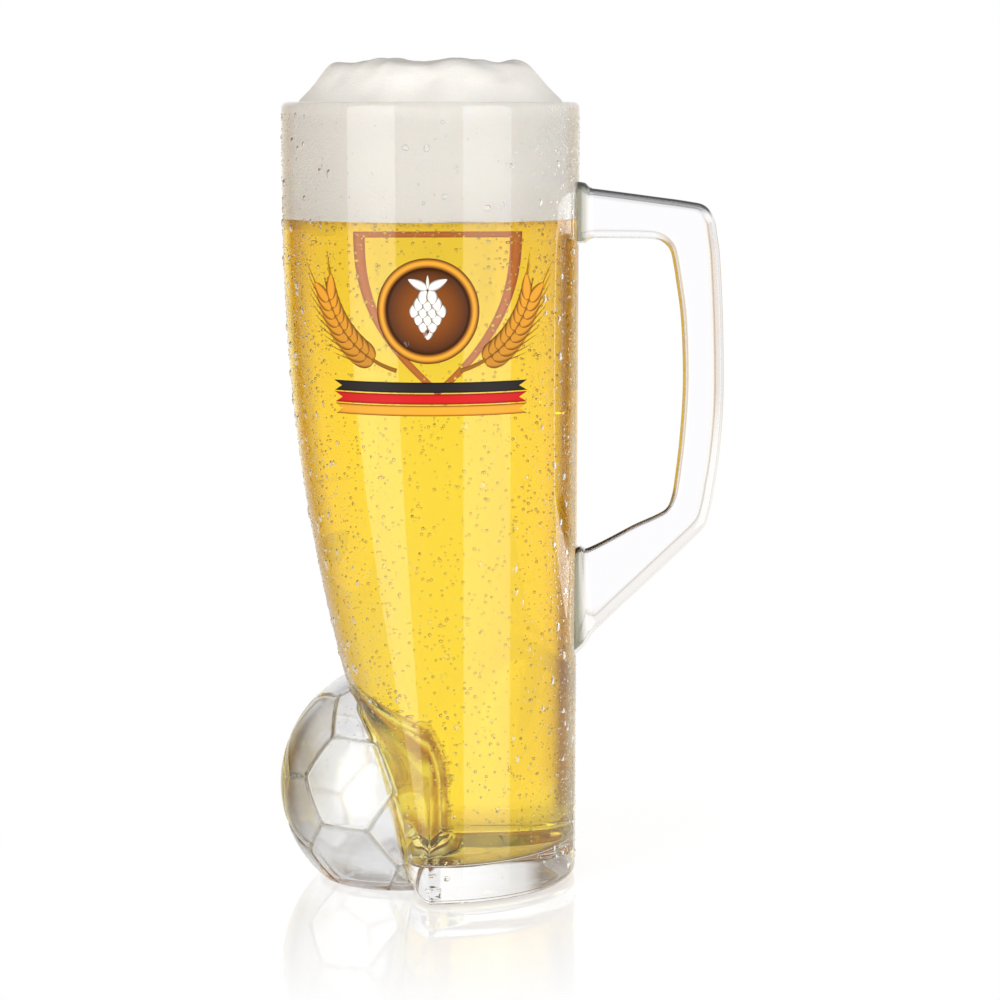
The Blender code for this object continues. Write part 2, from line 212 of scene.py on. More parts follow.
def cup_rings(levels, insets, shrinks):
    """Level rings of the cup, drawn in by their shrink: 1 leaves a ring on the wall, 0 makes it a point.

    Each point steps square to the wall until its depth is zero, which rounds the dent into the wall.
    """
    half = np.stack([half_outline(z, inset) for z, inset in zip(levels, insets)])
    level, inset = levels[:, None], insets[:, None]
    for _ in range(24):
        gap = cup_depth(half[..., 0], half[..., 1], level, inset)
        slope = [cup_depth(half[..., 0] + dx, half[..., 1] + dy, level, inset) for dx, dy in
                 ((NUDGE, 0.0), (-NUDGE, 0.0), (0.0, NUDGE), (0.0, -NUDGE))]
        slope = np.stack([slope[0] - slope[1], slope[2] - slope[3]], axis=-1) / (2.0 * NUDGE)
        steep = np.maximum(np.sum(slope ** 2, axis=-1), 0.05)
        half = half - np.clip((gap / steep)[..., None] * slope, -1.0, 1.0)
    ring = np.concatenate([half[:, ::-1] * (1.0, -1.0), half[:, 1:]], axis=1)
    shrink = shrinks[:, None]
    x = RING_SPINE + (ring[..., 0] - RING_SPINE) * shrink
    y = ring[..., 1] * (1.0 - (1.0 - shrink) ** 6)
    return np.stack(np.broadcast_arrays(x, y, level), axis=-1)


def cup_rows(low, high, inset, count):
    """Rings of the cup from its floor's middle, round the floor's edge and up to a height.

    They stand closer where the dent ends and near the floor.
    """
    drawn_in = np.array((0.0, 0.05, 0.2, 0.35, 0.7, 0.9))
    turn = np.linspace(0.0, np.pi / 2.0, 9)
    fine = np.linspace(low + FLOOR_ROUND, high, 2000)
    at_dent_top = 4.0 * np.exp(-((fine - DENT_TOP) / 6.0) ** 2)
    at_floor = 1.5 * np.exp(-(fine - low) / 15.0)
    run = np.cumsum(1.0 + at_dent_top + at_floor)
    up = np.interp(np.linspace(run[0], run[-1], count), run, fine)[1:]
    flat = np.full(len(drawn_in), low)
    levels = np.concatenate([flat, low + FLOOR_ROUND * (1.0 - np.cos(turn)), up])
    insets = inset + FLOOR_ROUND * np.concatenate([np.ones(len(flat)), 1.0 - np.sin(turn), np.zeros(len(up))])
    return cup_rings(levels, insets, np.concatenate([drawn_in, np.ones(len(turn) + len(up))]))


ball_top = float(root(lambda z: outside_ball(np.pi, z), np.array(30.0), np.array(56.0)))
low_levels = ball_top * (1.0 - (1.0 - np.linspace(0.0, 1.0, 150)) ** 1.5)
high_levels = np.linspace(ball_top, RIM_HEIGHT - WALL / 2.0, 80)[1:]
share = np.linspace(-1.0, 1.0, COLUMNS)
clear_of_crease = smooth_step((1.0 - np.abs(share)) / 0.05)
foot_arc = crease_angle(np.zeros(1)) * share
foot_middle = 0.5 * (wall_point(foot_arc[:1], np.zeros(1)) + wall_point(foot_arc[-1:], np.zeros(1)))

# The outside runs from under the foot up between the football's creases and then all round, over
# the lip; the inside follows from the lip down to the floor's middle.
outer_rows = []
for z in low_levels:
    arc = crease_angle(np.full(1, z)) * share
    lift = np.clip(1.0 - z / FOOT_ROUND, 0.0, 1.0)
    rounding = FOOT_ROUND * (1.0 - np.sqrt(1.0 - lift ** 2))
    outer_rows.append(wall_point(arc, np.full(COLUMNS, z), rounding * clear_of_crease))
under = [foot_middle + (outer_rows[0] - foot_middle) * s for s in (0.0, 0.5, 0.9)]
outer_rows = under + outer_rows
outer_rows += [wall_point(np.pi * share, np.full(COLUMNS, z)) for z in high_levels]
for turn in np.linspace(0.0, np.pi, 13)[1:-1]:
    lip = np.full(COLUMNS, RIM_HEIGHT - WALL / 2.0 * (1.0 - np.sin(turn)))
    outer_rows.append(wall_point(np.pi * share, lip, WALL / 2.0 * (1.0 - np.cos(turn))))
inner_rows = cup_rows(FLOOR, RIM_HEIGHT - WALL / 2.0, WALL, 110)
vessel_mesh = skin("glass_vessel", np.concatenate([outer_rows, inner_rows[::-1]]))


def linear(code):
    """Linear colour of an sRGB hex code."""
    srgb = np.array([int(code[i:i + 2], 16) for i in (1, 3, 5)]) / 255.0
    value = np.where(srgb <= 0.04045, srgb / 12.92, ((srgb + 0.055) / 1.055) ** 2.4)
    return (*value.tolist(), 1.0)


def node(tree, kind, settings, links=()):
    """Adds a shader node, sets its sockets or properties by name and links sockets into it."""
    made = tree.nodes.new(kind)
    for key, value in settings.items():
        if isinstance(key, int) or key in made.inputs:
            made.inputs[key].default_value = value
        else:
            setattr(made, key, value)
    for key, source in links:
        tree.links.new(source, made.inputs[key])
    return made


def finish(name, settings):
    """Material with one Principled shader; returns the material and the shader node."""
    mat = bpy.data.materials.new(name)
    mat.use_nodes = True
    shader = mat.node_tree.nodes["Principled BSDF"]
    for key, value in settings.items():
        shader.inputs[key].default_value = value
    return mat, shader


# Pressed soda-lime glass is smooth and clear: it is seen by its reflections and by bent light.
GLASS_INDEX = 1.5
CLEAR = {"Base Color": (1.0, 1.0, 1.0, 1.0), "Roughness": 0.0, "IOR": GLASS_INDEX, "Transmission Weight": 1.0}
pressed_glass, _ = finish("pressed glass", CLEAR)
piece("glass_vessel", vessel_mesh, pressed_glass, "clear_glass", "glass_vessel")


def corners_of(mesh):
    """The mesh's points in mm, one to a row."""
    at = np.empty(len(mesh.vertices) * 3)
    mesh.vertices.foreach_get("co", at)
    return at.reshape(-1, 3) * 1000.0


def store_values(mesh, name, values):
    """Keeps one number at each point of a mesh for its material to read."""
    mesh.attributes.new(name, "FLOAT", "POINT").data.foreach_set("value", values.astype(np.float32))


def two_tone(name, settings, value_name, low, high):
    """Material whose colour runs from low to high by the number stored at each point."""
    mat, shader = finish(name, settings)
    tree = mat.node_tree
    value = node(tree, "ShaderNodeAttribute", {"attribute_name": value_name})
    mix = node(tree, "ShaderNodeMix", {"data_type": "RGBA", 6: linear(low), 7: linear(high)},
               [(0, value.outputs["Fac"])])
    tree.links.new(mix.outputs[2], shader.inputs["Base Color"])
    return mat


# Below the foam the inside of the glass is wet, so light bends there as between glass and beer.
# Amber painted shade darkens the glass where bent light brings darker beer into view: at the dent's
# edge, at the floor and at the line under the foam, and more towards the top of the beer, where the
# foam above shades it. Outside, where the glass is seen edge-on, it takes a brown painted shade.
BEER_LEVEL = 173.3
BEER_INDEX = 1.34
DENT_EDGE = 1.7
UPPER_BEER = 100.0
UPPER_PAINTED_SHADE = 0.23
LINE_DEPTH = 3.0
LINE_PAINTED_SHADE = 0.4
FLOOR_PAINTED_SHADE = 0.44

x, y, z = corners_of(vessel_mesh).T
in_from_edge = DENT_RADIUS - np.hypot(x - DENT_CENTRE[0], np.maximum(z - DENT_CENTRE[1], 0.0))
width = DENT_EDGE * (1.0 + 0.25 * np.sin(0.55 * z) + 0.12 * np.sin(1.3 * z + 1.0))
on_dent = (np.abs(y) < DENT_HALF_WIDTH + 1.0) & (np.abs(in_from_edge - 4.0) < 8.0) & (z > FLOOR + 0.5)
on_dent = on_dent * smooth_step((x + sweep_radius(z) - 8.0) / 6.0) * smooth_step((np.abs(y) - 3.0) / 4.0)
edge_painted_shade = on_dent * smooth_step((width - in_from_edge) / 1.5)
in_upper_beer = smooth_step((z - UPPER_BEER) / (BEER_LEVEL - UPPER_BEER)) ** 1.5
at_line = smooth_step((z - BEER_LEVEL + LINE_DEPTH) / LINE_DEPTH)
top_painted_shade = UPPER_PAINTED_SHADE * in_upper_beer + LINE_PAINTED_SHADE * at_line
floor_painted_shade = FLOOR_PAINTED_SHADE * smooth_step((FLOOR + FLOOR_ROUND + 2.0 - z) / FLOOR_ROUND)
store_values(vessel_mesh, "amber", np.maximum(np.maximum(edge_painted_shade, floor_painted_shade), top_painted_shade))
# Wetted glass hardly bends light, so the inside is seen mostly by the amber shade painted on it.
wetted_glass = two_tone("wetted glass", {**CLEAR, "IOR": GLASS_INDEX / BEER_INDEX},
                        "amber", "#FFFFFF", "#A87A1F")
vessel_mesh.materials.append(wetted_glass)


def face_middles(mesh):
    """The middles of the mesh's faces in mm, one to a row."""
    at = np.empty(len(mesh.polygons) * 3)
    mesh.polygons.foreach_get("center", at)
    return at.reshape(-1, 3) * 1000.0


# The values stored here say how much brown painted shade each point of the outside takes: more towards the
# handle's side, fading out near the floor and at the beer's level.
by_side = 0.3 + 0.7 * smooth_step((x + 15.0) / 30.0)
over_floor = smooth_step((z - 14.0) / 10.0)
under_line = smooth_step((BEER_LEVEL - z) / LINE_DEPTH)
store_values(vessel_mesh, "depth", by_side * over_floor * under_line)
# Glass with beer behind it is clear from the front and is painted brown where it is seen edge-on:
# painted shade for the dark edges that bent light draws there.
painted_edge_shade_glass, painted_edge_shade_shader = finish("glass with beer behind it and painted edge shade", CLEAR)
tree = painted_edge_shade_glass.node_tree
depth = node(tree, "ShaderNodeAttribute", {"attribute_name": "depth"})
slant = node(tree, "ShaderNodeLayerWeight", {"Blend": 0.5})
edge_on = node(tree, "ShaderNodeMapRange",
               {"interpolation_type": "SMOOTHSTEP", "From Min": 0.44, "From Max": 0.58},
               [("Value", slant.outputs["Facing"])])
amount = node(tree, "ShaderNodeMath", {"operation": "MULTIPLY"},
              [(0, depth.outputs["Fac"]), (1, edge_on.outputs["Result"])])
tint = node(tree, "ShaderNodeMix", {"data_type": "RGBA", 6: linear("#FFFFFF"), 7: linear("#907768")},
            [(0, amount.outputs[0])])
tree.links.new(tint.outputs[2], painted_edge_shade_shader.inputs["Base Color"])
vessel_mesh.materials.append(painted_edge_shade_glass)
x, y, z = face_middles(vessel_mesh).T
inner = cup_depth(x, y, z, WALL) < 1.0
wet = inner & (z < BEER_LEVEL) & (z > FLOOR - 0.5)
backed = ~inner & (z < BEER_LEVEL) & (z > FLOOR + FLOOR_ROUND)
vessel_mesh.polygons.foreach_set("material_index", wet.astype(np.int32) + 2 * backed.astype(np.int32))


# The football is a hollow glass ball with the seams of a stitched ball moulded into it. It is
# fused to the vessel's swept side and cut flat where it stands; its hollow reaches up to the
# skin of the dent.
SEAM_DEPTH = 0.4
SEAM_WIDTH = 0.42
SHOULDER_DEPTH = 0.12
SHOULDER_WIDTH = 2.2
PAINTED_SEAM_SHADE_WIDTH = 0.36
BALL_WALL = 3.0
DENT_WALL = 2.0
HOLLOW_FLOOR = 3.0
HOLLOW_BLEND = 2.0
HOLLOW_CENTRE = np.array((-20.0, 0.0, 22.0))
PANEL_FACING = np.array((-0.4309, -0.8848, 0.1775))
PANEL_CORNER = np.array((-0.531, -0.6719, 0.5163))


def seam_corners():
    """The 60 corners of a ball of 12 pentagons and 20 hexagons, on the unit sphere."""
    gold = (1.0 + np.sqrt(5.0)) / 2.0
    signs = np.array(np.meshgrid((1, -1), (1, -1), (1, -1))).reshape(3, -1).T
    kinds = np.array([(0.0, 1.0, 3.0 * gold), (1.0, 2.0 + gold, 2.0 * gold), (gold, 2.0, 2.0 * gold + 1.0)])
    corners = [np.roll(kind * sign, turn) for kind in kinds for sign in signs for turn in range(3)]
    corners = np.unique(np.round(corners, 9), axis=0)
    return corners / np.linalg.norm(corners[0])


def upright_frame(first, second):
    """Matrix whose columns are a direction, the part of another square to it, and their cross."""
    first = first / np.linalg.norm(first)
    second = second - first * (second @ first)
    second = second / np.linalg.norm(second)
    return np.stack([first, second, np.cross(first, second)], axis=1)


def seam_distance(direction):
    """Distance in mm over the ball from each direction to the nearest seam, an arc of a great circle."""
    corners = seam_corners()
    apart = np.linalg.norm(corners[:, None] - corners[None], axis=-1)
    edge = np.min(apart[apart > 1e-6])
    middle = np.ones(3) / np.sqrt(3.0)
    ring = np.argsort(-(corners @ middle))[:6]
    own = upright_frame(middle, corners[ring[0]])
    turned = upright_frame(PANEL_FACING, PANEL_CORNER) @ own.T
    corners = corners @ turned.T
    nearest = np.full(direction.shape[:-1], 9.0)
    for i, j in np.argwhere(np.triu(np.abs(apart - edge) < 1e-6)):
        pole = np.cross(corners[i], corners[j])
        pole = pole / np.linalg.norm(pole)
        off = np.abs(np.arcsin(np.clip(direction @ pole, -1.0, 1.0)))
        halfway = corners[i] + corners[j]
        along = direction @ (halfway / np.linalg.norm(halfway))
        nearest = np.where(along > np.cos(edge * 0.56), np.minimum(nearest, off), nearest)
    return nearest * BALL_RADIUS


crease = wall_point(crease_angle(low_levels), low_levels)
crease_turn = np.arctan2(crease[:, 1], BALL_CENTRE[0] - crease[:, 0])
ball_share = np.linspace(-1.0, 1.0, 401)
turn = crease_turn[:, None] * ball_share
level = np.broadcast_to(low_levels[:, None], turn.shape)
section = ball_section(low_levels)[:, None]
ball = np.stack([BALL_CENTRE[0] - section * np.cos(turn), section * np.sin(turn), level], axis=-1)
middle_of_ball = np.array((BALL_CENTRE[0], 0.0, BALL_CENTRE[1]))
direction = (ball - middle_of_ball) / BALL_RADIUS
away = seam_distance(direction)
seam = SEAM_DEPTH * np.exp(-(away / SEAM_WIDTH) ** 2)
seam = seam + SHOULDER_DEPTH * np.exp(-(away / SHOULDER_WIDTH) ** 2)
fade = smooth_step((1.0 - np.abs(ball_share)) / 0.02) * smooth_step(level / 1.0)
ball = ball - direction * (seam * fade)[..., None]
ball[:, 0], ball[:, -1] = crease * (1, -1, 1), crease
flat = [foot_middle + (ball[0] - foot_middle) * s for s in (0.0, 0.5)]


def hollow_edge(point):
    """Signed distance out of the hollow: past the ball's inside, or nearer the cup than its wall."""
    x, y, z = np.moveaxis(point, -1, 0)
    shell = np.linalg.norm(point - middle_of_ball, axis=-1) - (BALL_RADIUS - BALL_WALL)
    behind = DENT_WALL - cup_depth(x, y, z, WALL)
    under = HOLLOW_FLOOR - z
    edge = np.maximum(np.maximum(shell, behind), under)
    near = np.maximum(HOLLOW_BLEND - np.abs(shell - behind), 0.0) / HOLLOW_BLEND
    return edge + 0.25 * HOLLOW_BLEND * near ** 2


polar = np.linspace(0.0, np.pi, 141)[:, None]
round_turn = np.linspace(0.0, 2.0 * np.pi, 281)[None, :]
ways = np.stack(np.broadcast_arrays(np.sin(polar) * np.cos(round_turn), np.sin(polar) * np.sin(round_turn),
                                    np.cos(polar)), axis=-1)
ways[:, -1], ways[0], ways[-1] = ways[:, 0], (0.0, 0.0, 1.0), (0.0, 0.0, -1.0)
reach = root(lambda r: hollow_edge(HOLLOW_CENTRE + ways * r[..., None]), np.zeros(ways.shape[:2]),
             np.full(ways.shape[:2], 60.0))
hollow = HOLLOW_CENTRE + ways * reach[..., None]
piece("ball_hollow", skin("ball_hollow", hollow), pressed_glass, "clear_glass")
ball_mesh = skin("glass_football", np.concatenate([np.stack(flat), ball])[:, ::-1])
outward = corners_of(ball_mesh) - middle_of_ball
outward = outward / np.linalg.norm(outward, axis=1)[:, None]
painted_far_side_shade = smooth_step((-outward[:, 0] - 0.62) / 0.34)
painted_seam_shade = np.exp(-(seam_distance(outward) / PAINTED_SEAM_SHADE_WIDTH) ** 2)
store_values(ball_mesh, "seam", np.maximum(painted_seam_shade, painted_far_side_shade))
# Glass that only the mould has smoothed is a little uneven: it blurs what is behind. Its seams and
# its outer side are painted grey: painted shade for the dark lines the seams bend into view and for
# the darker outer edge of the ball.
ball_glass = two_tone("moulded ball glass", {**CLEAR, "Roughness": 0.14}, "seam", "#F3F4F6", "#98968E")
piece("glass_football", ball_mesh, ball_glass, "ball_glass", "glass_football")


# The handle is a bent bar of glass with chamfered edges, fused to the wall at both ends, where
# the soft glass has flared out along the wall.
HANDLE_EDGE = np.array([
    (38.0, 181.4, 38.0, 167.9), (46.0, 180.4, 46.0, 167.9), (58.0, 178.8, 55.0, 167.8),
    (66.0, 177.7, 58.5, 167.5), (70.6, 176.6, 60.6, 166.4), (73.0, 173.6, 61.9, 164.6),
    (74.1, 168.0, 62.6, 161.5), (74.8, 162.2, 63.2, 158.0), (75.7, 145.1, 64.7, 147.0),
    (75.9, 125.2, 65.3, 131.0), (74.9, 111.0, 64.6, 117.0), (73.6, 102.0, 63.4, 106.0),
    (72.6, 96.8, 62.6, 101.0), (71.4, 93.2, 61.3, 98.0), (68.8, 90.2, 58.5, 96.2),
    (62.4, 84.0, 53.0, 93.7), (54.0, 76.0, 47.0, 90.5), (46.6, 69.0, 42.5, 88.2),
    (38.0, 60.3, 38.0, 86.2)])
HANDLE_ROOT = 38.0
HANDLE_HALF_WIDTH = 6.5
BEDDED = 0.06
HUG_REACH = 6.0
CHAMFER = (2.2, 0.9)
COLLAR = 1.3
COLLAR_REACH = 2.4
LINE_WIDTH = 1.0
LINE_TOP = 174.0


def through(points, steps):
    """Smooth curve through every point, `steps` short pieces to a span (Catmull-Rom)."""
    ends = np.concatenate([2 * points[:1] - points[1:2], points, 2 * points[-1:] - points[-2:-1]])
    t = (np.arange(steps) / steps)[:, None]
    spans = []
    for a, b, c, d in zip(ends, ends[1:], ends[2:], ends[3:]):
        cubic = (3 * b - a - 3 * c + d) * t ** 3 + (2 * a - 5 * b + 4 * c - d) * t ** 2 + (c - a) * t + 2 * b
        spans.append(0.5 * cubic)
    return np.concatenate(spans + [points[-1:]])


def bar_profile(half_depth, half_width, columns):
    """Ring round a chamfered bar, its corners softened by averaging each point with those near it."""
    depth, width = CHAMFER
    corner = np.array([(half_depth, half_width - width), (half_depth - depth, half_width)])
    corners = np.concatenate([corner, corner[::-1] * (-1, 1), -corner, corner[::-1] * (1, -1)])
    corners = np.concatenate([corners, corners[:1]])
    run = np.concatenate([[0.0], np.cumsum(np.linalg.norm(np.diff(corners, axis=0), axis=1))])
    at = np.linspace(0.0, run[-1], columns)[:-1]
    ring = np.stack([np.interp(at, run, corners[:, i]) for i in (0, 1)], axis=1)
    soft = sum(np.roll(ring, k, axis=0) for k in range(-2, 3)) / 5.0
    return np.concatenate([soft, soft[:1]])


edges = through(HANDLE_EDGE, 8)
handle_rows = []
for outer_x, outer_z, inner_x, inner_z in edges:
    half = np.array((outer_x - inner_x, outer_z - inner_z)) / 2.0
    depth = np.linalg.norm(half)
    middle_x, middle_z = (outer_x + inner_x) / 2.0, (outer_z + inner_z) / 2.0
    off_wall = max(middle_x - HANDLE_ROOT, 0.0)
    flare = COLLAR * smooth_step((COLLAR_REACH + 1.2 - off_wall) / 2.0)
    ring = bar_profile(depth + flare, HANDLE_HALF_WIDTH + flare, 97)
    x = middle_x + ring[:, 0] * half[0] / depth
    z = middle_z + ring[:, 0] * half[1] / depth
    y = ring[:, 1]
    wall_x = np.sqrt((wall_radius(z) - BEDDED) ** 2 - y ** 2)
    hug = smooth_step(1.0 - off_wall / HUG_REACH)
    handle_rows.append(np.stack([x + (wall_x - HANDLE_ROOT) * hug, y, z], axis=-1))
ends = [np.broadcast_to(np.mean(row[:-1], axis=0), row.shape) for row in (handle_rows[0], handle_rows[-1])]
handle_mesh = skin("handle", np.stack([ends[0]] + handle_rows + [ends[1]]))


def off_line(points, line):
    """Distance in mm from each point to the nearest straight piece of a line."""
    way = np.diff(line, axis=0)
    gap = points[:, None] - line[:-1]
    along = np.clip(np.sum(gap * way, axis=-1) / np.sum(way ** 2, axis=-1), 0.0, 1.0)
    return np.min(np.linalg.norm(gap - along[..., None] * way, axis=-1), axis=1)


x, y, z = corners_of(handle_mesh).T
off_wall = np.hypot(x, y) - wall_radius(z)
flat = np.stack([x, z], axis=1)
outer_line = smooth_step((LINE_WIDTH - off_line(flat, edges[:, :2])) / LINE_WIDTH)
outer_line = outer_line * smooth_step((LINE_TOP - z) / 8.0)
inner_line = smooth_step((LINE_WIDTH - off_line(flat, edges[:, 2:])) / LINE_WIDTH)
at_corner = smooth_step((np.abs(y) - HANDLE_HALF_WIDTH + CHAMFER[1] + 0.9) / 0.6)
# The handle is painted grey as shade at its roots on the wall and in lines along its chamfer edges.
painted_handle_shade = smooth_step((COLLAR_REACH + 0.8 - off_wall) / 1.2)
store_values(handle_mesh, "painted_handle_shade", np.maximum(painted_handle_shade, 0.9 * at_corner * np.maximum(outer_line, inner_line)))
# Fire-polished glass is clear and smooth. Its chamfer edges and its joins with the wall are painted
# grey: painted shade for the dark lines that bent light draws there.
handle_glass = two_tone("fire-polished handle glass", CLEAR, "painted_handle_shade", "#FEFDFF", "#A1A18F")
piece("handle", handle_mesh, handle_glass, "handle_glass", "handle")


# The beer is clear golden lager that fills the cup to a level under the foam. It wets the glass
# all round, so its mesh reaches a little way into the glass.
WETTED = 0.06

beer_rows = cup_rows(FLOOR - WETTED, BEER_LEVEL, WALL - WETTED, 90)
top_rows = cup_rings(np.full(3, BEER_LEVEL), np.full(3, WALL - WETTED), np.array((0.8, 0.4, 0.0)))
beer_mesh = skin("beer", np.concatenate([beer_rows, top_rows]))
# Lager takes the blue out of light: it is yellow where it is thin and amber where it is deep. The
# wetted glass does the bending, so the beer's own surface has none.
lager, _ = finish("golden lager", {**CLEAR, "IOR": 1.0})
tree = lager.node_tree
tint = node(tree, "ShaderNodeVolumeAbsorption", {"Color": (0.999, 0.915, 0.0, 1.0), "Density": 58.0})
tree.links.new(tint.outputs[0], tree.nodes["Material Output"].inputs["Volume"])
piece("beer", beer_mesh, lager, "lager", "beer")


# The bubbles are gas that the beer gives off. They cling to the inside of the glass, hang in the
# beer near it and crowd in a line under the foam.
def scatter(seed, count):
    """Evenly spread numbers from 0 to 1 in `count` rows of six, the same on every run."""
    return np.random.default_rng(seed).random((count, 6))


def spheres(name, centres, radii, rows, columns):
    """One mesh of small balls: each a grid of rings from pole to pole about its centre."""
    polar = np.linspace(0.0, np.pi, rows)[:, None]
    turn = np.linspace(0.0, 2.0 * np.pi, columns)[None, :]
    globe = np.stack(np.broadcast_arrays(np.sin(polar) * np.cos(turn), np.sin(polar) * np.sin(turn),
                                         np.cos(polar)), axis=-1)
    return skin(name, *[centre + radius * globe for centre, radius in zip(centres, radii)])


def inside_cup(angle, z, gap):
    """Points at given angles and heights, a gap in from the cup's wall.

    The angles are taken about a line that leans towards the handle, away from the dent.
    """
    centre = 18.0 * smooth_step((75.0 - z) / 60.0)
    reach = root(lambda r: cup_depth(centre + r * np.cos(angle), r * np.sin(angle), z, WALL + gap),
                 np.zeros_like(z), np.full_like(z, 70.0))
    return np.stack([centre + reach * np.cos(angle), reach * np.sin(angle), z], axis=-1)


loose = scatter(5, 3000)
size = 0.18 + 0.3 * loose[:, 0] ** 2.0
height = FLOOR + 4.0 + (BEER_LEVEL - FLOOR - 6.0) * loose[:, 1] ** 0.8
depth = np.where(loose[:, 2] < 0.8, size * 0.9, 0.5 + 20.0 * loose[:, 3] ** 2)
bearing = -np.pi / 2.0 + np.pi * (2.0 * loose[:, 4] - 1.0) * (0.35 + 0.65 * loose[:, 5] ** 2)
middles = inside_cup(bearing, height, depth)
line = scatter(6, 520)
line_size = 0.14 + 0.22 * line[:, 0] ** 2
line_height = BEER_LEVEL - 0.25 - line_size - 1.6 * line[:, 1] ** 3
line_middles = inside_cup(2.0 * np.pi * line[:, 2], line_height, line_size)
bubble_mesh = spheres("bubbles", np.concatenate([middles, line_middles]), np.concatenate([size, line_size]),
                      5, 8)
# A bubble is seen by its dark rim, which the index between beer and gas gives.
gas, _ = finish("gas in beer", {**CLEAR, "IOR": BEER_INDEX})
piece("bubbles", bubble_mesh, gas, "lager")


# The head is stiff ivory foam of fine bubbles. It fills the mug above the beer and stands over
# the rim with a sloping edge and a soft, uneven top.
FOAM_RINGS = 24
SWELL_STEEPNESS = 0.009
FROTH_PER_MM = 1.4

foam_levels = np.linspace(BEER_LEVEL - 0.1, RIM_HEIGHT - 1.0, FOAM_RINGS)
foam_levels = np.concatenate([foam_levels[[0, 0, 0]], foam_levels])
foam_shrinks = np.concatenate([(0.0, 0.5, 0.9), np.ones(FOAM_RINGS)])
foam_rows = list(cup_rings(foam_levels, np.full(len(foam_levels), WALL - WETTED), foam_shrinks))
# The top's half profile, as (radius, rise above the rim), with waves of random headings on it.
dome = np.array([(34.6, -0.6), (33.4, 0.8), (30.6, 3.6), (28.0, 6.4), (25.6, 8.7),
                 (22.6, 9.9), (18.0, 10.4), (10.0, 10.3), (4.0, 10.2), (0.0, 10.2)])
foam_angle = np.linspace(-np.pi, np.pi, COLUMNS)
swell = scatter(7, 24)[:, :, None]
heading = 2.0 * np.pi * swell[:, 0]
length = 3.5 + 17.0 * swell[:, 1]
phase = 2.0 * np.pi * swell[:, 2]
for radius, rise in through(dome, 6):
    x, y = radius * np.cos(foam_angle), radius * np.sin(foam_angle)
    along = (x * np.cos(heading) + y * np.sin(heading)) / length
    lump = np.sum(SWELL_STEEPNESS * length * np.sin(2.0 * np.pi * along + phase), axis=0)
    z = RIM_HEIGHT + rise + lump * np.clip(rise / 6.0, 0.0, 1.0)
    foam_rows.append(np.stack([x, y, z], axis=-1))
foam_mesh = skin("foam_head", np.stack(foam_rows))
# Foam scatters light between its bubbles: matt, warm white and soft in its shadows. Its real
# bubbles are finer; the froth is drawn as coarse as it needs to show.
foam, foam_shader = finish("ivory foam", {
    "Base Color": linear("#FDF7EF"), "Roughness": 0.85, "Subsurface Weight": 0.4,
    "Subsurface Radius": (1.0, 0.8, 0.6), "Subsurface Scale": 0.0015})
tree = foam.node_tree
where = node(tree, "ShaderNodeTexCoord", {})
froth = node(tree, "ShaderNodeTexVoronoi", {"Scale": 1000.0 * FROTH_PER_MM, "feature": "F1"},
             [("Vector", where.outputs["Object"])])
bump = node(tree, "ShaderNodeBump", {"Strength": 0.25, "Distance": 0.0003, "invert": True},
            [("Height", froth.outputs["Distance"])])
tree.links.new(bump.outputs[0], foam_shader.inputs["Normal"])
piece("foam_head", foam_mesh, foam, "foam", "foam_head")


# The front print is fired enamel, screened onto the glass: a brown medallion with a silver hop
# cone in a gold ring, an ear of barley on each side and a ribbon of three stripes below.
PRINT_HEIGHT = 151.5
FILM = 0.05
FILM_GAP = 0.03
LAYERS = 0.15
MEDALLION_RADIUS = 10.7
RING_RADIUS = 13.1
RING_MIDDLE = 0.908
STEM_LENGTH = 33.0
STEM_POINTS = 60
STRIPE_WIDTH = 2.6
STRIPE_LENGTH = 54.0


def on_wall(across, up, lift):
    """Point of the wall at a distance round it from the front and a height, lifted off the glass."""
    angle = -np.pi / 2.0 + across / RIM_RADIUS
    return wall_point(angle, up, -lift)


def enamel(name, dark, light):
    """Fired enamel, opaque and half matt, from dark to light by the shade stored at each point."""
    return two_tone(name, {"Roughness": 0.45, "Specular IOR Level": 0.15}, "shade", dark, light)


def film(name, shapes, material, slot, *nodes):
    """Enamel film from flat shapes, each a grid of (across, up, shade), laid on the wall in turn."""
    grids, shades = [], []
    for layer, shape in enumerate(shapes):
        lift = FILM_GAP + LAYERS * layer / len(shapes)
        grids.append(on_wall(shape[..., 0], shape[..., 1], np.full(shape.shape[:2], lift)))
        shades.append(shape[..., 2].ravel())
    mesh = skin(name, *grids)
    at = np.round(np.concatenate([grid.reshape(-1, 3) for grid in grids]), 4)
    _, first = np.unique(at, axis=0, return_index=True)
    store_values(mesh, "shade", np.concatenate(shades)[first])
    thing = piece(name, mesh, material, slot, *nodes)
    thick = thing.modifiers.new("Film", "SOLIDIFY")
    thick.thickness = FILM * 0.001
    thick.offset = 1.0
    return thing


def disc(radius, inner, shade):
    """Flat disc or ring about the print's middle, shaded by its distance from the middle."""
    turn = np.linspace(0.0, 2.0 * np.pi, 97)[None, :]
    reach = np.linspace(inner, radius, 9)[:, None]
    across, up = reach * np.cos(turn), PRINT_HEIGHT + reach * np.sin(turn)
    return np.stack(np.broadcast_arrays(across, up, shade(reach / radius)), axis=-1)


def leaf(base, heading, length, half_width, tone, blunt=0.75):
    """Leaf from its base along a heading: widest past the middle, with a dark edge."""
    t = np.linspace(0.0, 1.0, 15)[:, None]
    q = np.linspace(-1.0, 1.0, 9)[None, :]
    half = half_width * np.sin(np.pi * t ** blunt) ** 0.8
    along = t * length + 0.0 * q
    side = half * q
    across = base[0] + along * np.cos(heading) - side * np.sin(heading)
    up = base[1] + along * np.sin(heading) + side * np.cos(heading)
    edge = np.maximum(np.abs(q) + 0.0 * t, np.abs(2.0 * t - 1.0) ** 6 + 0.0 * q)
    shade = tone * (1.0 - smooth_step((edge - 0.55) / 0.4))
    return np.stack([across, up, shade], axis=-1)


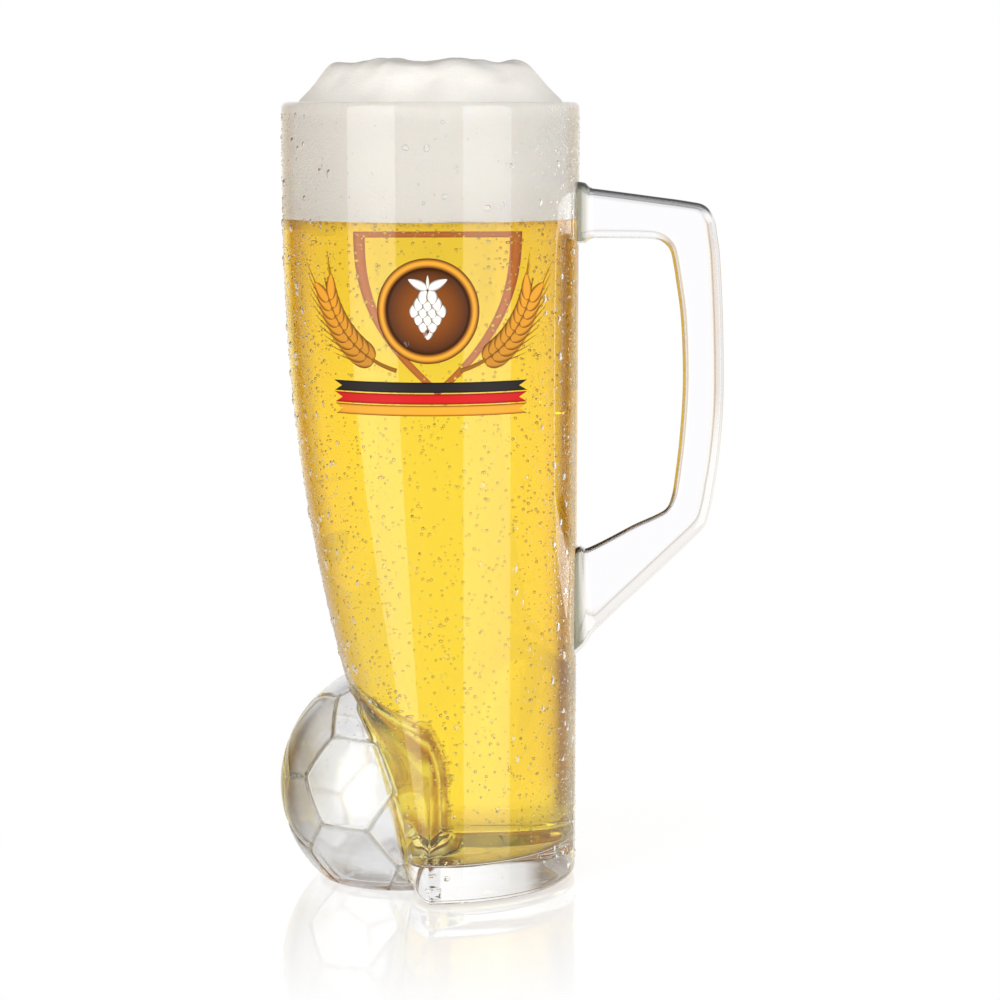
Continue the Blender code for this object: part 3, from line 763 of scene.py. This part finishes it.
def ear_of_barley(side):
    """Grains in pairs along a stem that bends up and out, each with a long fine awn.

    The side is 1 for the right and -1 for the left, which mirrors every shape.
    """
    heading = np.radians(14.0) + np.radians(66.0) * np.linspace(0.0, 1.0, STEM_POINTS)
    run = np.stack([np.cumsum(np.cos(heading)), np.cumsum(np.sin(heading))], axis=1)
    stem = run * STEM_LENGTH / STEM_POINTS + (7.6, PRINT_HEIGHT - 15.0)
    thin = np.linspace(0.55, 0.2, STEM_POINTS)
    normal = np.stack([-np.sin(heading), np.cos(heading)], axis=1)
    q = np.linspace(-1.0, 1.0, 3)[None, :, None]
    stalk = stem[:, None] + normal[:, None] * q * thin[:, None, None]
    shapes = [np.concatenate([stalk, np.full((STEM_POINTS, 3, 1), 0.25)], axis=-1)]
    for k in range(10):
        i = 12 + 4 * k
        for hand in (1.0, -1.0):
            lean = heading[i] + hand * np.radians(24.0)
            foot = stem[i] + normal[i] * hand * 0.5
            shapes.append(leaf(foot, lean, 7.0, 1.7, 0.6 + 0.04 * k))
            tip = foot + 6.2 * np.array((np.cos(lean), np.sin(lean)))
            shapes.append(leaf(tip, heading[i] + hand * np.radians(12.0), 6.5, 0.16, 0.4, 0.4))
    for shape in shapes:
        shape[..., 0] *= side
    return [shape[:, ::side] for shape in shapes]


def hop_cone():
    """Scales of a hop cone in overlapping rows from its tip up, with two leaves and a short stem."""
    shapes = []
    for row, count in enumerate((1, 2, 3, 4, 3, 2)):
        for place in np.arange(count) - (count - 1) / 2.0:
            base = (1.55 * place, PRINT_HEIGHT - 2.6 + 1.75 * row)
            shapes.append(leaf(base, -np.pi / 2.0 + 0.24 * place, 4.6, 1.5, 1.0, 1.25))
    for heading in (0.15 * np.pi, 0.85 * np.pi):
        shapes.append(leaf((0.0, PRINT_HEIGHT + 5.4), heading, 5.6, 1.3, 0.9))
    return shapes + [leaf((0.0, PRINT_HEIGHT + 5.4), np.pi / 2.0, 3.6, 0.5, 0.8)]


def stripe(drop):
    """Straight stripe a drop below the print's middle, with a V cut in each end."""
    q = np.linspace(-1.0, 1.0, 9)[:, None]
    p = np.linspace(-1.0, 1.0, 81)[None, :]
    end = STRIPE_LENGTH / 2.0 - STRIPE_WIDTH * (1.0 - np.abs(q))
    across = p * end
    up = PRINT_HEIGHT - drop + 0.5 * STRIPE_WIDTH * q + 0.0 * p
    edge = np.abs(q) + 0.0 * p
    return np.stack([across, up, 1.0 - smooth_step((edge - 0.6) / 0.4)], axis=-1)


film("print_medallion", [disc(MEDALLION_RADIUS, 0.0, lambda r: 1.0 - r ** 2)],
     enamel("brown enamel", "#3A1C08", "#8C4A12"), "brown_enamel", "print_medallion")
gold = enamel("gold enamel", "#5A2E08", "#E8A030")
ring = disc(RING_RADIUS, MEDALLION_RADIUS, lambda r: smooth_step(1.0 - np.abs(r - RING_MIDDLE) / 0.09))
film("print_medallion_ring", [ring], gold, "gold_enamel", "print_medallion_ring")
silver = enamel("silver enamel", "#4A3A2C", "#F4EFE6")
film("print_emblem", hop_cone(), silver, "gold_enamel", "print_emblem")
film("print_barley_right", ear_of_barley(1), gold, "gold_enamel", "print_barley_right")
film("print_barley_left", ear_of_barley(-1), gold, "gold_enamel", "print_barley_left")
black = enamel("black enamel", "#0C0A0A", "#221C1C")
film("print_band_dark", [stripe(19.0)], black, "dark_enamel", "print_band_dark")
red = enamel("red enamel", "#7A0A0C", "#C8181C")
film("print_band_red", [stripe(21.9)], red, "red_enamel", "print_band_red")
film("print_band_gold", [stripe(24.8)], gold, "gold_enamel", "print_band_gold")


# The back print is one ochre enamel: a shield drawn in a single line, with a star in it. It is
# seen through the beer, which spreads it sideways.
BACK_HEIGHT = 147.0
STAR_NOTCH = 0.42


def at_back(shape):
    """Moves a shape from the front of the wall to its back."""
    return shape + np.array((np.pi * RIM_RADIUS, 0.0, 0.0))


def shield(half_width, height, line):
    """Closed line of a shield: level at the top, its sides curving to a point."""
    t = np.linspace(0.0, 1.0, 40)
    side = np.stack([half_width * (1.0 - t ** 2.4), height * (0.5 - t)], axis=1)
    top = np.stack([np.linspace(0.0, half_width, 12), np.full(12, height / 2.0)], axis=1)[:-1]
    right = np.concatenate([top, side])
    outline = np.concatenate([right, (right * (-1, 1))[::-1][1:]])
    inner = outline * ((half_width - line) / half_width, (height - 2.4 * line) / height) + (0.0, 0.2 * line)
    grid = outline[None] + (inner - outline)[None] * np.linspace(0.0, 1.0, 5)[:, None, None]
    edge = np.abs(np.linspace(-1.0, 1.0, 5))[:, None] + np.zeros(len(outline))[None]
    grid = grid + np.array((0.0, BACK_HEIGHT))
    return np.concatenate([grid, (1.0 - edge)[..., None]], axis=-1)


def star(radius):
    """Five-pointed star drawn from its middle out to its points and notches."""
    turn = np.linspace(0.0, 2.0 * np.pi, 101)
    phase = np.abs((turn / (2.0 * np.pi) * 5.0) % 1.0 - 0.5) * 2.0
    reach = radius * STAR_NOTCH / (STAR_NOTCH + (1.0 - STAR_NOTCH) * (1.0 - phase))
    s = np.linspace(0.0, 1.0, 7)[:, None]
    across, up = s * reach * np.sin(turn), BACK_HEIGHT + 4.0 + s * reach * np.cos(turn)
    return np.stack(np.broadcast_arrays(across, up, 1.0 - s ** 4), axis=-1)


# A thin coat of ochre enamel lets light through, so it glows with the lit beer in front of it.
ochre = two_tone("ochre enamel", {"Roughness": 0.5, "Transmission Weight": 0.85, "IOR": 1.1},
                 "shade", "#C87A28", "#E0963A")
film("back_print_shield", [at_back(shield(12.0, 44.0, 1.6))], ochre, "ochre_enamel", "back_print_shield")
film("back_print_star", [at_back(star(6.5))], ochre, "ochre_enamel", "back_print_star")


# The drops are water from the air on the cold glass: fine beads over the front, thickest at the
# sides, and larger drops among them and a few behind. They hold to the glass by themselves.
def drops(name, feet, sides, ups, radius, tall, outline, columns):
    """One mesh of drops: each a low cap on the glass, closed by a base just inside it.

    Its outline gives (reach, rise) from its top to its base, in shares of the drop's radius.
    """
    turn = np.linspace(0.0, 2.0 * np.pi, columns)[None, :]
    reach, rise = np.array(outline).T[:, :, None]
    grids = []
    for foot, side, up, r, stretch in zip(feet, sides, ups, radius, tall):
        wobble = 1.0 + 0.12 * np.sin(turn * 2.0 + 9.0 * foot[0]) + 0.08 * np.sin(turn * 3.0 + 7.0 * foot[2])
        sag = -0.25 * (stretch - 1.0) * rise
        flat = (r * reach * wobble * np.cos(turn))[..., None] * side
        flat = flat + (r * stretch * (reach * wobble * np.sin(turn) + sag))[..., None] * up
        lift = np.where(rise < 0.0, -0.03, r * rise) + 0.0 * turn
        grids.append(foot + flat + lift[..., None] * np.cross(side, up))
    return skin(name, *grids)


def unit(vectors):
    """Vectors scaled to length 1."""
    return vectors / np.linalg.norm(vectors, axis=-1, keepdims=True)


def wall_frames(angle, z):
    """Points of the wall with the level and the upward direction along it at each."""
    step = 0.001
    feet = wall_point(angle, z)
    return feet, unit(wall_point(angle + step, z) - feet), unit(wall_point(angle, z + step) - feet)


def bare_wall(angle, z):
    """True where the wall is clear of the football and of the handle's ends."""
    at_handle = (np.cos(angle) > 0.97) & (z > 56.0) & (z < 186.0)
    return (outside_ball(angle, z) > 2.0) & ~at_handle


def on_front_print(angle, z):
    """True on the part of the wall that has the front print."""
    return (np.abs(np.cos(angle)) < 0.72) & (np.sin(angle) < 0.0) & (np.abs(z - 146.0) < 22.0)


LARGE_DROP = ((0.0, 0.52), (0.35, 0.49), (0.62, 0.40), (0.82, 0.27),
              (0.94, 0.14), (1.0, 0.0), (0.9, -0.12), (0.0, -0.12))
FINE_BEAD = ((0.0, 0.5), (0.55, 0.42), (0.88, 0.2), (1.0, 0.0), (0.0, -0.12))
EVEN_DROPS = 1000

# Water is clear and bends light, so each drop is a small lens with a bright and a dark side.
water, _ = finish("water", {**CLEAR, "IOR": 1.33})
fall = scatter(11, 1500)
edgeways = -np.pi / 2.0 + np.where(fall[:, 4] < 0.8, -1.0, 1.0) * np.pi * (0.22 + 0.36 * fall[:, 0])
angle = np.where(np.arange(len(fall)) < EVEN_DROPS, 2.0 * np.pi * fall[:, 0], edgeways)
height = 4.0 + 196.0 * fall[:, 1]
keep = bare_wall(angle, height) & ~(on_front_print(angle, height) & (fall[:, 5] < 0.85))
keep &= (np.sin(angle) < 0.1) | (fall[:, 5] > 0.8)
radius = np.where(np.sin(angle) < 0.1, 0.22 + 0.7 * fall[:, 3] ** 4, 0.25)
tall = 1.0 + 0.35 * fall[:, 4] * (radius > 0.5)
large = [values[keep] for values in (*wall_frames(angle, height), radius, tall)]
piece("water_drops", drops("water_drops", *large, LARGE_DROP, 12), water, "clear_glass")

# A quarter of the beads spread over the front; the others crowd towards the sides.
beads = scatter(12, 6200)
aside = np.where(beads[:, 4] < 0.25, beads[:, 0], 0.95 + 0.45 * (beads[:, 0] - beads[:, 4] / 0.75 + 0.17))
to_side = np.where(beads[:, 2] < 0.5, -1.0, 1.0) * aside
angle = -np.pi / 2.0 + to_side * np.pi / 2.0
height = 8.0 + 192.0 * beads[:, 1]
keep = bare_wall(angle, height) & ~on_front_print(angle, height) & (np.abs(to_side) > 0.8 * beads[:, 5])
radius = 0.10 + 0.22 * beads[:, 3] ** 2
fine = [values[keep] for values in (*wall_frames(angle, height), radius, np.ones(len(radius)))]
# The ball's beads lie towards its top and foot more than round its middle.
on_ball = scatter(13, 900)
turn = np.pi * (0.06 + 0.85 * on_ball[:, 0])
lift = np.arcsin(np.clip(-0.72 + 1.45 * on_ball[:, 1], -0.72, 0.85))
ways = np.stack([-np.cos(lift) * np.cos(turn), -np.cos(lift) * np.sin(turn), np.sin(lift)], axis=-1)
keep = (ways[:, 0] < -0.05 + 0.3 * ways[:, 2]) & (np.abs(ways[:, 2] - 0.05) > 0.55 * on_ball[:, 2])
ways = ways[keep]
level_way = unit(np.cross((0.0, 0.0, 1.0), ways))
ball_fine = [middle_of_ball + BALL_RADIUS * ways, level_way, np.cross(ways, level_way),
             0.1 + 0.2 * on_ball[keep, 3] ** 2, np.ones(len(ways))]
both = [np.concatenate(pair) for pair in zip(fine, ball_fine)]
piece("fine_drops", drops("fine_drops", *both, FINE_BEAD, 9), water, "clear_glass")


# The mist between the drops is water in beads too fine to see one by one. It is one skin over the
# front of the wall, denser low down, and it hides more where it is seen edge-on.
MIST_GAP = 0.02
GRAIN_PER_MM = 1.5
PATCHES_PER_MM = 0.09

mist_levels = np.linspace(8.0, 199.0, 120)
mist_share = np.linspace(0.0, 1.0, 140)
turns = -crease_angle(mist_levels)[:, None] * (1.0 - mist_share) - 0.2 * mist_share
mist_z = np.broadcast_to(mist_levels[:, None], turns.shape)
mist_mesh = skin("mist", wall_point(turns, mist_z, -MIST_GAP))
x, _, z = corners_of(mist_mesh).T
low = smooth_step((130.0 - z) / 80.0)
store_values(mist_mesh, "veil", 0.004 + 0.014 * low + 0.07 * low * smooth_step(-x / 14.0))
right_haze = 0.3 * smooth_step((165.0 - z) / 35.0) + 0.3 * smooth_step((140.0 - z) / 30.0)
left_haze = 0.25 * low
store_values(mist_mesh, "haze", left_haze + (right_haze - left_haze) * smooth_step((x + 10.0) / 20.0))
# Fine beads scatter light: a pale matt veil in grains and patches. The grains are drawn as coarse
# as they need to show.
mist, mist_shader = finish("mist of fine beads", {
    "Base Color": linear("#CBC3B6"), "Roughness": 1.0, "Specular IOR Level": 0.0})
tree = mist.node_tree
where = node(tree, "ShaderNodeTexCoord", {})
grain = node(tree, "ShaderNodeTexNoise", {"Scale": 1000.0 * GRAIN_PER_MM, "Detail": 1.0},
             [("Vector", where.outputs["Object"])])
patch = node(tree, "ShaderNodeTexNoise", {"Scale": 1000.0 * PATCHES_PER_MM, "Detail": 2.0},
             [("Vector", where.outputs["Object"])])
spread = node(tree, "ShaderNodeMath", {"operation": "MULTIPLY"},
              [(0, grain.outputs[0]), (1, patch.outputs[0])])
veil = node(tree, "ShaderNodeAttribute", {"attribute_name": "veil"})
haze = node(tree, "ShaderNodeAttribute", {"attribute_name": "haze"})
slant = node(tree, "ShaderNodeLayerWeight", {"Blend": 0.5})
edge_on = node(tree, "ShaderNodeMapRange",
               {"interpolation_type": "SMOOTHSTEP", "From Min": 0.6, "From Max": 0.82},
               [("Value", slant.outputs["Facing"])])
thick = node(tree, "ShaderNodeMath", {"operation": "MULTIPLY_ADD"},
             [(0, haze.outputs["Fac"]), (1, edge_on.outputs["Result"]), (2, veil.outputs["Fac"])])
cover = node(tree, "ShaderNodeMath", {"operation": "MULTIPLY"},
             [(0, spread.outputs[0]), (1, thick.outputs[0])])
dense = node(tree, "ShaderNodeMath", {"operation": "MULTIPLY", 1: 4.0, "use_clamp": True},
             [(0, cover.outputs[0])])
tree.links.new(dense.outputs[0], mist_shader.inputs["Alpha"])
piece("mist", mist_mesh, mist, "clear_glass")


# The stage is a pale glossy table in a white studio: two tall soft boxes stand in front to the
# left and right, and the surround has warm, darker sides that draw the edges of the glass. Here
# sizes are in metres.
TABLE_RADIUS = 0.16
TABLE_DROP = 0.0001
TABLE_CORNERS = 96
TABLE_LIGHT = 0.58

floor_turn = np.linspace(0.0, 2.0 * np.pi, TABLE_CORNERS + 1)[:-1]
floor_ring = np.stack([TABLE_RADIUS * np.cos(floor_turn), TABLE_RADIUS * np.sin(floor_turn),
                       np.full(TABLE_CORNERS, -TABLE_DROP)], axis=1)
floor_mesh = bpy.data.meshes.new("table")
floor_mesh.from_pydata(floor_ring.tolist(), [], [tuple(range(TABLE_CORNERS))])
table = bpy.data.objects.new("table", floor_mesh)
bpy.context.scene.collection.objects.link(table)
# A glossy pale table mirrors the mug, takes its shadow and fades into the white surround.
table_top, table_shader = finish("pale glossy table", {
    "Base Color": linear("#BEBEBE"), "Roughness": 0.04, "IOR": 2.2})
tree = table_top.node_tree
path = node(tree, "ShaderNodeLightPath", {})
looked = node(tree, "ShaderNodeMath", {"operation": "MAXIMUM"},
              [(0, path.outputs["Is Camera Ray"]), (1, path.outputs["Is Glossy Ray"])])
through_glass = node(tree, "ShaderNodeMath", {"operation": "MAXIMUM"},
                     [(0, looked.outputs[0]), (1, path.outputs["Is Transmission Ray"])])
lit = node(tree, "ShaderNodeMath", {"operation": "MULTIPLY", 1: TABLE_LIGHT}, [(0, through_glass.outputs[0])])
table_shader.inputs["Emission Color"].default_value = (1.0, 1.0, 1.0, 1.0)
tree.links.new(lit.outputs[0], table_shader.inputs["Emission Strength"])
where = node(tree, "ShaderNodeTexCoord", {})
far = node(tree, "ShaderNodeVectorMath", {"operation": "LENGTH"}, [(0, where.outputs["Object"])])
fade = node(tree, "ShaderNodeMapRange", {"From Min": 0.05, "From Max": 0.125},
            [("Value", far.outputs["Value"])])
white = node(tree, "ShaderNodeEmission", {"Color": (1.0, 1.0, 1.0, 1.0), "Strength": 1.0})
clear = node(tree, "ShaderNodeBsdfTransparent", {})
beyond = node(tree, "ShaderNodeMixShader", {},
              [("Fac", path.outputs["Is Camera Ray"]), (1, clear.outputs[0]), (2, white.outputs[0])])
blend = node(tree, "ShaderNodeMixShader", {},
             [("Fac", fade.outputs["Result"]), (1, table_shader.outputs[0]), (2, beyond.outputs[0])])
tree.links.new(blend.outputs[0], tree.nodes["Material Output"].inputs["Surface"])
floor_mesh.materials.append(table_top)

# The world is white to the camera. To the glass it is white behind and in front, and darker at
# the sides, by the bearing from straight behind the mug, in degrees, and by the height.
WHITE = (1.0, 1.0, 1.0)
ROOM = (0.25, 0.205, 0.155)
EDGE_WARMTH = (0.5, 0.31, 0.12)
PANEL_STOPS = ((0.0, WHITE), (8.0, WHITE), (30.0, (0.76, 0.74, 0.72)), (39.0, ROOM), (110.0, ROOM),
               (130.0, WHITE), (180.0, WHITE))
WARM_STOPS = ((0.0, WHITE), (8.0, WHITE), (28.0, (0.9, 0.76, 0.54)), (41.0, EDGE_WARMTH),
              (110.0, EDGE_WARMTH), (130.0, WHITE), (180.0, WHITE))
HEIGHT_STOPS = ((0.0, WHITE), (0.65, WHITE), (0.80, (0.15, 0.15, 0.15)), (1.0, (0.1, 0.1, 0.1)))

world = bpy.data.worlds.new("white studio")
bpy.context.scene.world = world
world.use_nodes = True
tree = world.node_tree
backdrop = tree.nodes["Background"]
path = node(tree, "ShaderNodeLightPath", {})
where = node(tree, "ShaderNodeTexCoord", {})
axes = node(tree, "ShaderNodeSeparateXYZ", {}, [(0, where.outputs["Generated"])])
bearing = node(tree, "ShaderNodeMath", {"operation": "ARCTAN2"},
               [(0, axes.outputs["X"]), (1, axes.outputs["Y"])])
folded = node(tree, "ShaderNodeMath", {"operation": "ABSOLUTE"}, [(0, bearing.outputs[0])])
turned = node(tree, "ShaderNodeMath", {"operation": "DIVIDE", 1: np.pi}, [(0, folded.outputs[0])])

rise = node(tree, "ShaderNodeMapRange", {"From Min": -1.0, "From Max": 1.0}, [("Value", axes.outputs["Z"])])
panel = node(tree, "ShaderNodeValToRGB", {}, [("Fac", turned.outputs[0])])
warm = node(tree, "ShaderNodeValToRGB", {}, [("Fac", turned.outputs[0])])
heights = node(tree, "ShaderNodeValToRGB", {}, [("Fac", rise.outputs[0])])
for ramp, stops, whole in ((panel, PANEL_STOPS, 180.0), (warm, WARM_STOPS, 180.0),
                           (heights, HEIGHT_STOPS, 1.0)):
    elements = ramp.color_ramp.elements
    for element, (place, colour) in zip((elements[0], elements[1]), (stops[0], stops[-1])):
        element.position = place / whole
        element.color = (*colour, 1.0)
    for place, colour in stops[1:-1]:
        elements.new(place / whole).color = (*colour, 1.0)
level_view = node(tree, "ShaderNodeMapRange", {"From Min": 0.09, "From Max": 0.03},
                  [("Value", axes.outputs["Z"])])
room = node(tree, "ShaderNodeMix", {"data_type": "RGBA"},
            [(0, level_view.outputs[0]), (6, panel.outputs["Color"]), (7, warm.outputs["Color"])])
above = node(tree, "ShaderNodeMapRange", {"From Min": 0.06, "From Max": 0.16},
             [("Value", axes.outputs["Z"])])
right = node(tree, "ShaderNodeMath", {"operation": "GREATER_THAN", 1: 0.0}, [(0, axes.outputs["X"])])
wide = node(tree, "ShaderNodeMapRange", {"From Min": 46.0 / 180.0, "From Max": 54.0 / 180.0},
            [("Value", turned.outputs[0])])
open_side = node(tree, "ShaderNodeMath", {"operation": "MAXIMUM"},
                 [(0, above.outputs[0]), (1, wide.outputs[0])])
open_right = node(tree, "ShaderNodeMath", {"operation": "MULTIPLY"},
                  [(0, open_side.outputs[0]), (1, right.outputs[0])])
low_wide = node(tree, "ShaderNodeMath", {"operation": "MULTIPLY"},
                [(0, wide.outputs[0]), (1, level_view.outputs[0])])
low_open = node(tree, "ShaderNodeMath", {"operation": "MULTIPLY", 1: 0.6}, [(0, low_wide.outputs[0])])
opening = node(tree, "ShaderNodeMath", {"operation": "MAXIMUM"},
               [(0, open_right.outputs[0]), (1, low_open.outputs[0])])
sides = node(tree, "ShaderNodeMix", {"data_type": "RGBA", 7: (0.85, 0.85, 0.85, 1.0)},
             [(0, opening.outputs[0]), (6, room.outputs[2])])
below = node(tree, "ShaderNodeMapRange", {"From Min": -0.1, "From Max": -0.19},
             [("Value", axes.outputs["Z"])])
low_side = node(tree, "ShaderNodeMix",
                {"data_type": "RGBA", 6: (0.4, 0.29, 0.16, 1.0), 7: (0.92, 0.9, 0.86, 1.0)},
                [(0, right.outputs[0])])
low_room = node(tree, "ShaderNodeMix", {"data_type": "RGBA", "blend_type": "LIGHTEN"},
                [(0, below.outputs[0]), (6, sides.outputs[2]), (7, low_side.outputs[2])])
surround = node(tree, "ShaderNodeMix", {"data_type": "RGBA", 7: (1.0, 1.0, 1.0, 1.0)},
                [(0, path.outputs["Is Camera Ray"]), (6, low_room.outputs[2])])
level = node(tree, "ShaderNodeMix", {"data_type": "FLOAT", "B": 1.0},
             [("Factor", path.outputs["Is Camera Ray"]), ("A", heights.outputs["Color"])])
tree.links.new(surround.outputs[2], backdrop.inputs["Color"])
tree.links.new(level.outputs[0], backdrop.inputs["Strength"])


BOX_DISTANCE = 1.3
BOX_HEIGHT = 0.4
BOX_SIZE = (0.92, 2.0)


def soft_box(name, bearing, watts):
    """Tall soft box facing the mug's axis from a bearing in degrees, 0 in front and 90 at the handle."""
    light = bpy.data.lights.new(name, "AREA")
    light.shape = "RECTANGLE"
    light.size, light.size_y = BOX_SIZE
    light.energy = watts
    lamp = bpy.data.objects.new(name, light)
    turn = np.radians(bearing)
    lamp.location = (BOX_DISTANCE * np.sin(turn), -BOX_DISTANCE * np.cos(turn), BOX_HEIGHT)
    lamp.rotation_euler = (np.pi / 2.0, 0.0, turn)
    lamp.visible_camera = False
    bpy.context.scene.collection.objects.link(lamp)


soft_box("left soft box", -45.0, 13.2)
soft_box("right soft box", 45.0, 12.2)

# The camera stands where the photograph's perspective puts it. Light may cross many clear surfaces.
camera = bpy.data.cameras.new("camera")
camera.lens = 107.4
camera.sensor_width = 36.0
view = bpy.data.objects.new("camera", camera)
view.location = (0.0179, -0.7763, 0.2008)
view.rotation_euler = (np.radians(90.0 - 7.44), 0.0, 0.0)
bpy.context.scene.collection.objects.link(view)
bpy.context.scene.camera = view
bpy.context.scene.view_settings.view_transform = "Standard"
bpy.context.scene.cycles.max_bounces = 40
bpy.context.scene.cycles.transmission_bounces = 40
bpy.context.scene.cycles.glossy_bounces = 16
